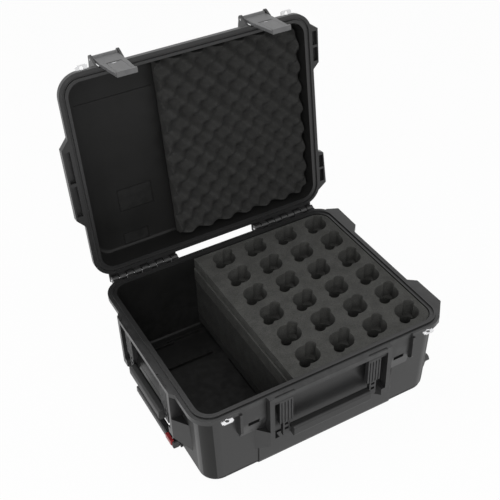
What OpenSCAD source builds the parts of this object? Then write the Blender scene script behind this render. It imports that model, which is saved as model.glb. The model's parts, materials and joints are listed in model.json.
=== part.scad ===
// Wheeled case for 24 hand-held microphones, moulded shell with foam inserts.
// Millimetres. The origin is on the floor under the middle of the rim.
// +X points to the wheels, +Y to the hinge and +Z up. The lid is drawn open.

/* [Case] */
// Length across the rims, from the pull handle to the wheels
case_w = 612; // [590:1:640]
// Depth across the rims, front to hinge
case_d = 494; // [480:1:510]
// Floor to the top of the base rim
base_h = 222; // [214:1:236]
// Base rim to the top of the closed lid
lid_h = 70; // [66:1:80]
// How far the lid stands open, in degrees
lid_open = 97.25; // [90:0.25:100]
// Thickness of the moulded walls
wall = 7; // [6:0.25:8]
// Thickness of the case floor and of the lid top
plate = 6; // [5:0.25:8]
// Height of the feet moulded under the base
foot_h = 5; // [4:0.5:7]
// How far each wall leans in over its height
draft = 5.5; // [4:0.25:7]

/* [Rims] */
// How far the rims stand out from the walls
rim_out = 13; // [12:0.25:15]
// Height of each rim
rim_t = 12; // [10:0.5:14]
// Corner radius of the rims
rim_r = 50; // [44:1:54]
// Gap between the rims when the lid is shut
seam = 0.4; // [0.3:0.05:0.8]
// Width of the seal in the lid rim
seal_w = 6; // [5:0.25:7]
// Depth of the seal groove
seal_t = 5; // [4:0.25:6]
// How far the rim guards stand out past the rims
guard_out = 18; // [14:1:20]

/* [Hinge] */
// Distance of the hinge pin behind the rims
hinge_back = 11; // [10.5:0.25:13]
// Depth of the hinge pin below the base rim
hinge_drop = 5.6; // [5:0.1:6.5]
// Radius of the hinge knuckles
knuckle_r = 8.5; // [7.5:0.25:9]
// Radius of the hinge pins
hinge_pin_r = 3; // [2.5:0.25:3.5]
// Inner end of each hinge, from the middle
hinge_in = 105; // [95:1:120]
// Distance of each hinge's outer end from the end of the rim
hinge_end = 30; // [26:1:50]
// Knuckles in each hinge, an odd number
knuckles = 9; // [7:2:11]

/* [Latches] */
// Distance of each latch from the end of the rim
latch_end = 126; // [122:1:130]
// Width of a latch at its pin
latch_w = 55; // [50:1:58]
// Width of a latch at its free end
latch_tip = 45; // [43:1:50]
// Thickness of a latch plate
latch_t = 7; // [6:0.5:8]
// Height of the latch pin above the base rim
latch_up = 40; // [36:1:44]
// Reach of the latch below the base rim
latch_down = 87; // [82:1:92]
// Radius of the latch pin
latch_pin_r = 2.5; // [2:0.25:3]
// Width of the release trigger in a latch
trigger_w = 33; // [28:1:36]
// Radius of the trigger pin
trigger_pin_r = 1.5; // [1.25:0.05:1.6]

/* [Carrying handles] */
// Width of the front handle over its arms
front_handle_w = 250; // [236:1:252]
// Width of the side handle over its arms
side_handle_w = 212; // [190:1:224]
// Width of one arm
arm_w = 32; // [28:1:34]
// Pivot of the handles below the base rim
pivot_down = 22; // [20:1:25]
// Middle of the grip below the base rim
grip_down = 118; // [112:1:124]
// Radius of the handle pins
handle_pin_r = 3; // [2.5:0.25:3.5]
// Width of the grip cushion, front to back
grip_t = 20; // [17:1:21]
// Height of the grip cushion
grip_h = 27; // [24:1:30]

/* [Pull handle] */
// Distance of each tube from the middle of the case
tube_y = 80; // [74:1:86]
// Outer radius of the sliding tubes
tube_r = 7; // [6:0.25:7.5]
// Wall of the tubes
tube_wall = 1.5; // [1.2:0.1:2]
// Length of the sliding tubes
tube_l = 445; // [420:5:470]
// Width of the pull grip
pull_w = 196; // [190:1:204]
// Depth of the pull grip
pull_t = 16; // [14:1:18]
// Height of the pull grip
pull_h = 19; // [17:1:20]

/* [Wheels] */
// Radius of the wheels
wheel_r = 48; // [44:1:49]
// Width of the wheels
wheel_w = 28; // [24:1:30]
// Distance of the wheel's middle from the side of the rim
wheel_in = 58; // [56:1:61]
// Radius of the axles
axle_r = 4; // [3.5:0.25:5]

/* [Foam] */
// Left face of the foam, from the middle
foam_left = -80; // [-90:1:-70]
// Thickness of the top foam sheet
sheet_t = 26; // [22:1:30]
// Thickness of the foam layer under the sheet
layer_t = 34; // [28:1:36]
// Sockets along the case
socket_cols = 4; // [4:1:4]
// Sockets across the case
socket_rows = 6; // [6:1:6]
// Distance between sockets along the case
socket_dx = 85.5; // [83:0.5:86]
// Distance between sockets across the case
socket_dy = 74.5; // [73:0.5:75]
// Radius of a socket at the microphone's head
socket_r = 27; // [25:0.5:28]
// Radius of the finger notches beside a socket
notch_r = 12; // [11:0.5:12.5]
// Depth of the finger notches
notch_deep = 40; // [34:1:48]
// Width of the channels under the sockets, for the microphones' handles
channel_w = 38; // [34:1:40]
// Depth of the sockets
socket_deep = 165; // [150:1:175]
// Thickness of the egg-crate foam at its peaks
crate_t = 45; // [42:1:46]
// Height of the egg-crate peaks over the valleys
crate_wave = 26; // [20:1:27]
// Distance between egg-crate peaks
crate_pitch = 52; // [48:1:56]

/* [Hidden] */
$fn = 48;
eps = 0.01;
fit = 0.05;
clear = 0.4;
knuckle_gap = 2.6;

// Shell planes
body_w = case_w - 2 * rim_out;
body_d = case_d - 2 * rim_out;
body_r = rim_r - 10;
inner_w = body_w - 2 * wall;
inner_d = body_d - 2 * wall;
inner_r = body_r - wall;
under = foot_h;
edge_r = 16;
foot_x = [-case_w / 2 + 109, case_w / 2 - 168];
groove_y = -case_d / 2 + 89;
hinge_l = case_w / 2 - hinge_in - hinge_end;
wheel_y = case_d / 2 - wheel_in;
latch_x = case_w / 2 - latch_end;

// Outlines of the rim guards: out past the rim's end, and in from the near side
guard_h = 16;
base_guard_front = [[-44, 1], [-16, 12], [guard_out + 1, 52], [guard_out, 135], [-2, 151]];
base_guard_rear = [[-7, 19], [guard_out + 2, 32], [guard_out, 112], [0, 132]];
lid_guard_front = [[-46, 0.5], [guard_out - 1, 47], [guard_out - 3, 129], [-2, 145]];
lid_guard_rear = [[-16, 21], [guard_out, 45], [guard_out - 3, 129], [-1, 137]];
lid_guard_left = [[-1, 137], [guard_out, 159], [guard_out, 330], [-1, 352]];
guard_pockets = [[52, 85], [91, 124]];
left_pockets = [[165, 240], [248, 322]];
floor_z = under + 4 + plate;
lid_z = base_h + seam;
lid_top = base_h + lid_h;
stack_h = 12;
notch_in = 4.5;
notch_low = 9;
cover_up = 3.6;
cover_t = 4.4;
cover_back = 10;
roof_z = lid_top - stack_h;
lid_draft = 7;
hinge_y = case_d / 2 + hinge_back;
hinge_z = base_h - hinge_drop;
hasp_x = case_w / 2 - 61;
hasp_t = 2.5;
hasp_w = 26;
hasp_out = 10;

// Panels outlined in the ceiling of the lid: corner, width and depth
lid_panels = [[-207, 68, 86, 57], [-210, 183, 64, 31]];
line_w = 2.5;
line_deep = 1.5;

// Latch planes, with the lid shut
plate_y = -case_d / 2 - 0.5;
latch_pin_y = plate_y - latch_t / 2 - 1;
latch_pin_z = base_h + latch_up;
bay_w = latch_w + 3;
bay_down = 94;
boss_r = latch_pin_r + 4;
ear_t = 5;
ear_r = 9.5;
trigger_top = 12;
trigger_down = 77;
trigger_z = base_h - trigger_top - 4;
trigger_y = plate_y - latch_t / 2;
window_w = 26;
window_h = 10;
lug_fade = 94;
lug_down = 54;
hook_down = lug_down + 1.2;
lug_reach = 4.7;
hook_reach = 4.2;

// Handle bays, measured out from the wall
bay_lip = 22;
bay_low = 138;
bay_back = wall - 0.5;
fin_t = 6;
fin_down = 66;
gusset_t = 11;
slot_down = 120;
panel_t = 2.5;
panel_x = [-165, 175];
pivot_out = 12;
arm_t = 11;
arm_gap = 4;
pocket = 4;
arm_fill = 10;
arm_space = arm_gap + arm_fill;
rib_l = 66;
rung_z = [70, 84];
foot_reach = 11;
vent_r = 8;
vent_z = base_h - rim_t - 18;

// Pull handle
tube_z = under + 10;
guide_r = tube_r + fit + tube_wall;
ridge_w = 2 * guide_r + 14;
ridge_top = tube_z + guide_r + 5;
guide_x = -body_w / 2 + draft + 3;
guide_l = tube_l + 28;
tray_rib = 4;
tray_rise = 7;
cradle_l = 44;
pull_x = -body_w / 2 + draft - 2;
scoop_w = 112;
scoop_h = 38;
scoop_deep = 18;
pull_socket = 4;
button_l = 28;
button_y = -pull_w / 2 + 6;
button_t = 7.5;
button_out = 2.5;
button_travel = 4;
button_web = 2.2;

// Wheels
wheel_x = case_w / 2 - 57;
wheel_z = wheel_r + 6;
liner_t = 3;
well_r = wheel_r + 2.5;
well_w = wheel_w + 4;
kick_rise = 57;
kick_run = 33;
hub_r = wheel_r - 12;
bearing_r = 11;
bearing_w = 7;
screw_r = 1.8;
screw_l = 7;
screw_at = [120, 165];

// Foam
foam_right = inner_w / 2;
foam_top = base_h - 2;
foam_gap = 0.4;
socket_x0 = foam_right - 44 - (socket_cols - 1) * socket_dx;
socket_y0 = 5 - (socket_rows - 1) * socket_dy / 2;
notch_off = 27.5;
row_cut = 0.1;
end_t = 34;
head_deep = sheet_t + layer_t;
well_top = wheel_z + well_r + 2 * liner_t + 2;
base_top = foam_top - socket_deep;
crate_cols = 28;
crate_rows = 32;

// How far the inside of the base leans in at a height
function inner_lean(z) = draft * (base_h + 1 - z) / (base_h + 1 - floor_z - edge_r / 2);

// A rounded rectangle plate made of true arcs
module slab(w, d, r, h) {
  linear_extrude(h)
    union() {
      square([w - 2 * r, d], center = true);
      square([w, d - 2 * r], center = true);
      for (x = [-1, 1], y = [-1, 1])
        translate([x * (w / 2 - r), y * (d / 2 - r)])
          circle(r);
    }
}

// A tub that leans in from the size at z1 to a rounded edge at z0
module tub(w, d, r, z0, z1, inset, edge) {
  hull() {
    translate([0, 0, z1 - eps])
      slab(w, d, r, eps);
    for (a = [0 : 30 : 90])
      translate([0, 0, z0 + edge * (1 - cos(a))])
        slab(w - 2 * (inset + edge * (1 - sin(a))), d - 2 * (inset + edge * (1 - sin(a))),
          r - edge / 4 * (1 - sin(a)), eps);
  }
}

// Places children against the front wall or the left wall, with -Y pointing out
module on_front() {
  translate([0, -body_d / 2, 0])
    children();
}

module on_left() {
  translate([-body_w / 2, 0, 0])
    rotate([0, 0, -90])
      children();
}

// Turns what is drawn shut to the open lid
module opened() {
  translate([0, hinge_y, hinge_z])
    rotate([-lid_open, 0, 0])
      translate([0, -hinge_y, -hinge_z])
        children();
}

// A rod along X
module rod(r, l) {
  rotate([0, 90, 0])
    cylinder(r = r, h = l);
}

// A rim guard from its outline, on the side of s
module guard(s, outline, z) {
  inner = -rim_out - 30;
  translate([0, 0, z])
    linear_extrude(guard_h)
      polygon(concat(
        [for (p = outline) [case_w / 2 + p[0], s * (case_d / 2 - p[1])]],
        [for (i = [len(outline) - 1, 0])
          [case_w / 2 + inner, s * (case_d / 2 - outline[i][1] - (i == 0 ? 20 : 0))]]
      ));
}

// A rim with its guards as children, open inside
module rim(z) {
  difference() {
    union() {
      translate([0, 0, z])
        slab(case_w, case_d, rim_r, rim_t);
      children();
    }
    translate([0, 0, z - guard_h])
      slab(inner_w, inner_d, inner_r, 3 * guard_h);
  }
}

// Side plates, ramps and lip of one carrying handle's bay
module handle_bay(handle_w, ramp_down, ramp_l, flare) {
  gusset_x = handle_w / 2 + arm_space;
  end_x = gusset_x + gusset_t;
  for (s = [0, 1])
    mirror([s, 0, 0])
      intersection() {
        union() {
          translate([gusset_x, -bay_lip, 0])
            cube([gusset_t, bay_lip + bay_back, base_h - rim_t + 1]);
          translate([gusset_x - arm_fill, -bay_lip, 0])
            cube([arm_fill + 1, bay_lip + bay_back, base_h - slot_down]);
          linear_extrude(base_h - ramp_down)
            polygon([
              [end_x - 1, -bay_lip], [end_x, -bay_lip], [end_x + ramp_l, bay_back], [end_x - 1, bay_back]
            ]);
        }
        translate([gusset_x - arm_fill - 1, 0, 0])
          rotate([90, 0, 90])
            linear_extrude(arm_fill + gusset_t + ramp_l + 2)
              polygon([
                [bay_back, base_h], [-bay_lip, base_h], [-bay_lip, base_h - bay_low],
                [bay_back, base_h - bay_low - bay_lip]
              ]);
      }
  difference() {
    translate([0, 0, base_h - rim_t])
      linear_extrude(rim_t)
        polygon([
          [-end_x, 0], [-end_x - flare, -rim_out + 1], [-end_x, -bay_lip],
          [end_x, -bay_lip], [end_x + flare, -rim_out + 1], [end_x, 0]
        ]);
    for (s = [0, 1])
      mirror([s, 0, 0])
        translate([handle_w / 2 - arm_w - 2, -bay_lip - 1, base_h - 1.8])
          cube([arm_w + 14, 6, 3]);
  }
}

module handle_pocket(handle_w) {
  side = arm_gap - 1;
  translate([-handle_w / 2 - side, -panel_t - 1, base_h - grip_down - 17])
    cube([handle_w + 2 * side, pocket + panel_t + 1, grip_down + 17 - rim_t]);
}

// Stretch of the front wall that stands proud of the rest
module front_panel() {
  intersection() {
    tub(body_w, body_d + 2 * panel_t, body_r, under, base_h, draft, edge_r);
    translate([panel_x[0], -case_d / 2, 0])
      cube([panel_x[1] - panel_x[0], case_d / 2, base_h - rim_t + 1]);
  }
}

// Hinge knuckles: every other one, starting at number first
module knuckle_row(first) {
  step = hinge_l / knuckles;
  for (s = [-1, 1], i = [first : 2 : knuckles - 1])
    translate([knuckle_gap / 2 + (s > 0 ? hinge_in + i * step : -hinge_in - (i + 1) * step), 0, 0])
      children();
}

module knuckle() {
  translate([0, hinge_y, hinge_z])
    rod(knuckle_r, hinge_l / knuckles - knuckle_gap);
}

module pin_bores() {
  for (s = [-1, 1])
    translate([s > 0 ? hinge_in - 1 : -hinge_in - hinge_l - 1, hinge_y, hinge_z])
      rod(hinge_pin_r + fit, hinge_l + 2);
}

// Where the wheel goes, as a round well open to the end and below
module well(s, r, w, x_end, z_end) {
  translate([wheel_x, s * wheel_y, wheel_z])
    rotate([90, 0, 0])
      translate([0, 0, -w / 2])
        linear_extrude(w)
          union() {
            circle(r);
            translate([0, -wheel_z + z_end])
              square([x_end, wheel_z - z_end]);
            square([x_end, r]);
            translate([-r, -wheel_z + z_end])
              square([r, wheel_z - z_end]);
          }
}

// Cuts the lower edge at the wheel end
module kick(back) {
  translate([body_w / 2 - back, case_d / 2, 0])
    rotate([90, 0, 0])
      linear_extrude(case_d)
        polygon([
          [0, kick_rise + under], [-kick_run - kick_run * under / kick_rise, 0],
          [-kick_run, -20], [80, -20], [80, kick_rise + under]
        ]);
}

module base_shell() {
  color([0.32, 0.32, 0.33])
    difference() {
      union() {
        difference() {
          union() {
            tub(body_w, body_d, body_r, under, base_h, draft, edge_r);
            front_panel();
          }
          difference() {
            tub(inner_w, inner_d, inner_r, floor_z, base_h + 1, draft, edge_r / 2);
            kick(wall + 2);
            compartment_floor();
            for (s = [-1, 1])
              translate([-body_w / 2, s * tube_y - ridge_w / 2, 0])
                cube([guide_l + 18, ridge_w, ridge_top]);
            translate([-body_w / 2, -scoop_w / 2 - wall, 0])
              cube([wall + scoop_deep + draft + 4, scoop_w + 2 * wall, scoop_h + wall + under]);
            for (s = [-1, 1])
              well(s, well_r + liner_t + 5, well_w + 2 * liner_t + 9, 60, 0);
          }
        }
        rim(base_h - rim_t) {
          guard(-1, base_guard_front, base_h - guard_h);
          guard(1, base_guard_rear, base_h - guard_h);
        }
        translate([0, 0, base_h])
          seal_ring(seal_w - 2, seal_t - 1.6);
        on_front()
          handle_bay(front_handle_w, bay_down + 2, 26, 0);
        on_left()
          handle_bay(side_handle_w, 80, 40, 14);
        for (s = [-1, 1])
          pull_cradle(s);
        for (s = [-1, 1])
          latch_bay(s);
        knuckle_row(0)
          base_knuckle();
        feet();
      }
      kick(0);
      on_front()
        handle_pocket(front_handle_w);
      on_left()
        handle_pocket(side_handle_w);
      for (s = [-1, 1]) {
        well(s, well_r + liner_t + 0.3, well_w + 2 * liner_t + 0.6, 120, -20);
        translate([s * latch_x - bay_w / 2, -case_d / 2 - 10, base_h - rim_t - 1])
          cube([bay_w, 10 + rim_out - 9.5, rim_t + 2]);
        translate([guide_x - 60, s * tube_y, tube_z])
          rod(guide_r + 0.3, guide_l + 60.5);
        translate([guide_x - 60, s * tube_y - guide_r - 0.3, 0])
          cube([guide_l + 60.5, 2 * guide_r + 0.6, tube_z]);
        translate([0, -s * wheel_y, 0])
          axle_hole();
        screw_holes(s);
      }
      translate([-body_w / 2 - 1, -scoop_w / 2, 0])
        cube([scoop_deep + draft + 1, scoop_w, scoop_h + under]);
      floor_recess();
      pin_bores();
      knuckle_row(1)
        rim_notch();
      on_front()
        handle_pin_bores(front_handle_w);
      on_left()
        handle_pin_bores(side_handle_w);
      on_front()
        vent_hole();
      underside_panels();
      hasp_slots(base_h - rim_t);
    }
}

// Raised floor over the tubes, and ribs in the floor of the compartment
module compartment_floor() {
  side = tube_y + ridge_w / 2;
  translate([-body_w / 2, -side, 0])
    cube([foam_left - 2 + body_w / 2, 2 * side, ridge_top]);
  for (s = [-1, 1], r = [[-265, 17, 113], [-265, 85, 189], [-180, 0, 197]])
    translate([r[0], s * r[2] - tray_rib / 2, 0])
      cube([foam_left - 2 - r[1] - r[0], tray_rib, floor_z + tray_rise]);
}

// Recess under the raised floor
module floor_recess() {
  translate([-body_w / 2 + scoop_deep + draft + 10, -tube_y + guide_r + 5, -1])
    cube([
      foam_left - 8 + body_w / 2 - scoop_deep - draft - 10, 2 * (tube_y - guide_r - 5), ridge_top - plate + 1
    ]);
}

// Block that a tube comes out of, with the pull grip against it
module pull_cradle(s) {
  translate([pull_x + 0.3, s * tube_y - cradle_l / 2, under])
    cube([18, cradle_l, 2 * tube_z - 4]);
}

// Ring that follows the rim; the base has it as a ridge and the lid as a groove
module seal_ring(w, h) {
  ring = rim_out + wall + 1;
  difference() {
    slab(case_w - ring + w, case_d - ring + w, rim_r - ring / 2 + w / 2, h);
    translate([0, 0, -1])
      slab(case_w - ring - w, case_d - ring - w, rim_r - ring / 2 - w / 2, h + 2);
  }
}

// Outer wedge of one latch bay, and the block that fades into the wall, with the hook's window
module latch_bay(s) {
  translate([s * (latch_x + bay_w / 2 + fin_t / 2) - fin_t / 2, -body_d / 2 + wall / 2, 0])
    rotate([90, 0, 90])
      linear_extrude(fin_t)
        polygon([
          [0, base_h - rim_t + 1], [-bay_lip + 2, base_h - rim_t + 1], [-bay_lip + 2, base_h - fin_down],
          [-bay_lip + 6, base_h - fin_down - 7], [0, base_h - fin_down - 14]
        ]);
  front = -case_d / 2 + lug_reach;
  difference() {
    translate([s * latch_x - bay_w / 2, 0, base_h])
      rotate([90, 0, 90])
        linear_extrude(bay_w)
          polygon([
            [front, -rim_t + 1], [front, -lug_down], [front + 1, -lug_down - window_h],
            [-body_d / 2, -lug_fade], [-body_d / 2 + wall / 2, -lug_fade], [-body_d / 2 + wall / 2, -rim_t + 1]
          ]);
    translate([s * latch_x - window_w / 2, front - 1, base_h - lug_down - window_h])
      cube([window_w, rim_out - lug_reach + 0.5, window_h]);
  }
}

module base_knuckle() {
  knuckle();
  translate([0, hinge_y - hinge_back - 3, hinge_z - knuckle_r])
    cube([hinge_l / knuckles - knuckle_gap, hinge_back + 3, knuckle_r + hinge_drop - 0.4]);
}

// Notch in the base rim in front of a lid knuckle
module rim_notch() {
  translate([0, case_d / 2 - notch_in, base_h - notch_low])
    cube([hinge_l / knuckles - knuckle_gap, notch_in + 1, notch_low + 1]);
}

module handle_pin_bores(handle_w) {
  for (s = [-1, 1])
    translate([s > 0 ? handle_w / 2 : -handle_w / 2 - arm_space - 10, -pivot_out, base_h - pivot_down])
      rod(handle_pin_r + fit, arm_space + 10);
}

module vent_hole() {
  translate([0, -5, vent_z])
    rotate([-90, 0, 0])
      cylinder(r = vent_r, h = 30);
}

module axle_hole() {
  translate([wheel_x, 0, wheel_z])
    rotate([90, 0, 0])
      translate([0, 0, -well_w / 2 - liner_t - 3])
        cylinder(r = axle_r + 4, h = well_w + 2 * liner_t + 6);
}

module feet() {
  for (x = foot_x, s = [-1, 1])
    translate([x, s * (body_d / 2 - draft - edge_r - 18), 0])
      slab(58, 28, 6, under + 6);
  cylinder(r = 30, h = under + 1);
}

// Shallow panels that leave ribs under the floor
module underside_panels() {
  for (x = [-140, -30, 80], y = [-1, 0, 1])
    translate([x - 48, y * 138 - (y == 0 ? 54 : 28), under - 1])
      cube([96, y == 0 ? 108 : 56, 5]);
}

module hasp_slots(z) {
  for (s = [-1, 1])
    translate([s * hasp_x - hasp_w / 2 - 0.2, -case_d / 2 - 1, z + rim_t / 2 - hasp_t / 2 - 0.2])
      cube([hasp_w + 0.4, 9, hasp_t + 0.4]);
}

// Stainless plate with a padlock hole, let into a rim
module hasp(x, z) {
  translate([x - hasp_w / 2, -case_d / 2 - hasp_out, z + rim_t / 2 - hasp_t / 2])
    linear_extrude(hasp_t)
      difference() {
        union() {
          square([hasp_w, hasp_out + 7.5]);
          translate([3, -2])
            square([hasp_w - 6, 3]);
        }
        translate([hasp_w / 2, 4.5])
          circle(4.2);
      }
}

module base_hasp_left() {
  color([0.85, 0.85, 0.86])
    hasp(-hasp_x, base_h - rim_t);
}

module base_hasp_right() {
  color([0.85, 0.85, 0.86])
    hasp(hasp_x, base_h - rim_t);
}

module guide_tube(s) {
  color([0.55, 0.55, 0.57])
    translate([guide_x, s * tube_y, tube_z])
      difference() {
        rod(guide_r, guide_l);
        translate([-1, 0, 0])
          rod(tube_r + fit, guide_l - 2);
      }
}

module guide_tube_front() {
  guide_tube(-1);
}

module guide_tube_rear() {
  guide_tube(1);
}

// Fender and cheeks round one wheel
module wheel_liner(s) {
  color([0.15, 0.15, 0.15])
    difference() {
      intersection() {
        well(s, well_r + liner_t, well_w + 2 * liner_t, 31, 9);
        translate([wheel_x, s * wheel_y, wheel_z])
          rotate([90, 0, 0])
            cylinder(r = well_r + liner_t, h = case_d, center = true);
      }
      well(s, well_r, well_w, 120, -20);
      kick(1.5);
      translate([0, s * wheel_y, 0])
        translate([wheel_x, 0, wheel_z])
          rotate([90, 0, 0])
            cylinder(r = axle_r + fit, h = 2 * well_w, center = true);
      screw_holes(s);
    }
}

module wheel_liner_front() {
  wheel_liner(-1);
}

module wheel_liner_rear() {
  wheel_liner(1);
}

// Bolt through the liner's cheeks, with a head and a nut
module axle(s) {
  color([0.7, 0.7, 0.72])
    translate([wheel_x, s * wheel_y, wheel_z])
      rotate([90, 0, 0]) {
        cylinder(r = axle_r, h = well_w + 2 * liner_t, center = true);
        for (m = [0, 1])
          mirror([0, 0, m])
            translate([0, 0, well_w / 2 + liner_t])
              cylinder(r = axle_r + 3, h = 2.2);
      }
}

module axle_front() {
  axle(-1);
}

module axle_rear() {
  axle(1);
}

// Screws that hold the liners, heads inside the wells
module liner_screws() {
  color([0.7, 0.7, 0.72])
    for (s = [-1, 1], a = screw_at)
      translate([wheel_x, s * wheel_y, wheel_z])
        rotate([0, -a, 0]) {
          translate([well_r - 1.8, 0, 0])
            rod(3.2, 1.6);
          translate([well_r - 1, 0, 0])
            rod(screw_r, screw_l - 1);
        }
}

module screw_holes(s) {
  for (a = screw_at)
    translate([wheel_x, s * wheel_y, wheel_z])
      rotate([0, -a, 0])
        translate([well_r - 5, 0, 0])
          rod(screw_r + fit, screw_l + 5);
}

module handle_pins(handle_w) {
  color([0.75, 0.75, 0.77])
    for (s = [-1, 1])
      translate([s > 0 ? handle_w / 2 - 12 : -handle_w / 2 - arm_space - 8, -pivot_out, base_h - pivot_down])
        rod(handle_pin_r, arm_space + 20);
}

module front_handle_pins() {
  on_front()
    handle_pins(front_handle_w);
}

module side_handle_pins() {
  on_left()
    handle_pins(side_handle_w);
}

// Round vent cap on the wall behind the front handle
module pressure_vent() {
  color([0.2, 0.2, 0.2])
    on_front()
      translate([0, 0, vent_z])
        rotate([90, 0, 0]) {
          translate([0, 0, -pocket + 1])
            cylinder(r = vent_r + 4.5, h = 5);
          translate([0, 0, -wall])
            cylinder(r = vent_r - 0.3, h = wall - pocket + 1.5);
        }
}

module vent_seal() {
  color([0.1, 0.1, 0.1])
    on_front()
      translate([0, 0, vent_z])
        rotate([90, 0, 0])
          translate([0, 0, -pocket])
            difference() {
              cylinder(r = vent_r + 3.5, h = 1);
              translate([0, 0, -1])
                cylinder(r = vent_r - 0.2, h = 3);
            }
}

module hinge_pin(s) {
  color([0.8, 0.8, 0.82])
    translate([s > 0 ? hinge_in : -hinge_in - hinge_l, hinge_y, hinge_z])
      rod(hinge_pin_r, hinge_l);
}

module hinge_pin_left() {
  hinge_pin(-1);
}

module hinge_pin_right() {
  hinge_pin(1);
}

// Foam inserts

module sockets(r, z0) {
  for (i = [0 : socket_cols - 1], j = [0 : socket_rows - 1])
    translate([socket_x0 + i * socket_dx, socket_y0 + j * socket_dy, z0])
      cylinder(r = r, h = base_h);
}

module notches(z0) {
  for (i = [0 : socket_cols - 1], j = [0 : socket_rows - 1], s = [-1, 1])
    translate([
      socket_x0 + i * socket_dx + s * notch_off / sqrt(2),
      socket_y0 + j * socket_dy + s * notch_off / sqrt(2), z0
    ])
      cylinder(r = notch_r, h = base_h);
}

// One level of foam, square at the left and rounded at the right
module foam_level(z0, z1, left) {
  in = inner_lean(z0) + foam_gap;
  translate([0, 0, z0])
    intersection() {
      slab(inner_w - 2 * in, inner_d - 2 * in, inner_r, z1 - z0);
      translate([left, -case_d / 2, -1])
        cube([case_w, case_d, z1 - z0 + 2]);
    }
}

// Cuts between the strips that a socketed sheet is glued up from, one per row
module row_cuts() {
  for (j = [0 : socket_rows - 1])
    translate([-case_w / 2, socket_y0 + j * socket_dy - row_cut / 2, 0])
      cube([case_w, row_cut, base_h]);
}

// Room for the wheel housings and the slanted end
module housing_cuts() {
  side = wheel_y - well_w / 2 - 9;
  for (s = [-1, 1])
    translate([wheel_x - well_r - liner_t - 7, s > 0 ? side : -case_d / 2, 0])
      cube([case_w / 2, case_d / 2 - side, well_top]);
  kick(wall + 3);
}

// The stretch of a sheet between two rows of sockets, counted from the front
module rows(from, to) {
  low = from == 0 ? -case_d / 2 : socket_y0 + (from - 1) * socket_dy;
  high = to == socket_rows + 1 ? case_d / 2 : socket_y0 + (to - 1) * socket_dy;
  intersection() {
    translate([-case_w / 2, low, 0])
      cube([case_w, high - low, base_h]);
    children();
  }
}

module top_sheet() {
  difference() {
    foam_level(foam_top - sheet_t, foam_top, foam_left + 3);
    sockets(socket_r, foam_top - sheet_t - 1);
    notches(foam_top - sheet_t - 1);
    row_cuts();
  }
}

module layer_sheet() {
  difference() {
    foam_level(foam_top - head_deep, foam_top - sheet_t - row_cut, foam_left);
    sockets(socket_r, foam_top - head_deep - 1);
    notches(foam_top - notch_deep);
    row_cuts();
  }
}

module mic_foam_top() {
  color([0.27, 0.27, 0.26])
    rows(0, socket_rows - 1)
      top_sheet();
}

module mic_foam_top_rear() {
  color([0.27, 0.27, 0.26])
    rows(socket_rows - 1, socket_rows)
      top_sheet();
}

module mic_foam_top_edge() {
  color([0.27, 0.27, 0.26])
    rows(socket_rows, socket_rows + 1)
      top_sheet();
}

module mic_foam_layer() {
  color([0.25, 0.25, 0.24])
    rows(0, socket_rows)
      layer_sheet();
}

module mic_foam_layer_edge() {
  color([0.25, 0.25, 0.24])
    rows(socket_rows, socket_rows + 1)
      layer_sheet();
}

// Foam bars between the channels for the microphones' handles
module mic_foam_bars() {
  color([0.23, 0.23, 0.22])
    difference() {
      foam_level(base_top, foam_top - head_deep - row_cut, foam_left + end_t + row_cut);
      for (j = [0 : socket_rows - 1])
        translate([-case_w / 2, socket_y0 + j * socket_dy - channel_w / 2, 0])
          cube([case_w, channel_w, base_h]);
      housing_cuts();
    }
}

// Foam wall between the sockets and the compartment
module mic_foam_end() {
  color([0.23, 0.23, 0.22])
    intersection() {
      foam_level(base_top, foam_top - head_deep - row_cut, foam_left);
      translate([foam_left, -case_d / 2, 0])
        cube([end_t, case_d, base_h]);
    }
}

module mic_foam_base() {
  color([0.22, 0.22, 0.21])
    difference() {
      foam_level(ridge_top + 0.4, base_top - row_cut, foam_left);
      housing_cuts();
    }
}

// Height of the egg-crate surface at a point, from its valleys
function crate(x, y) = crate_wave / 2 * (1 - cos(180 * x / crate_pitch * 2) * cos(180 * y / crate_pitch * 2));

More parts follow.
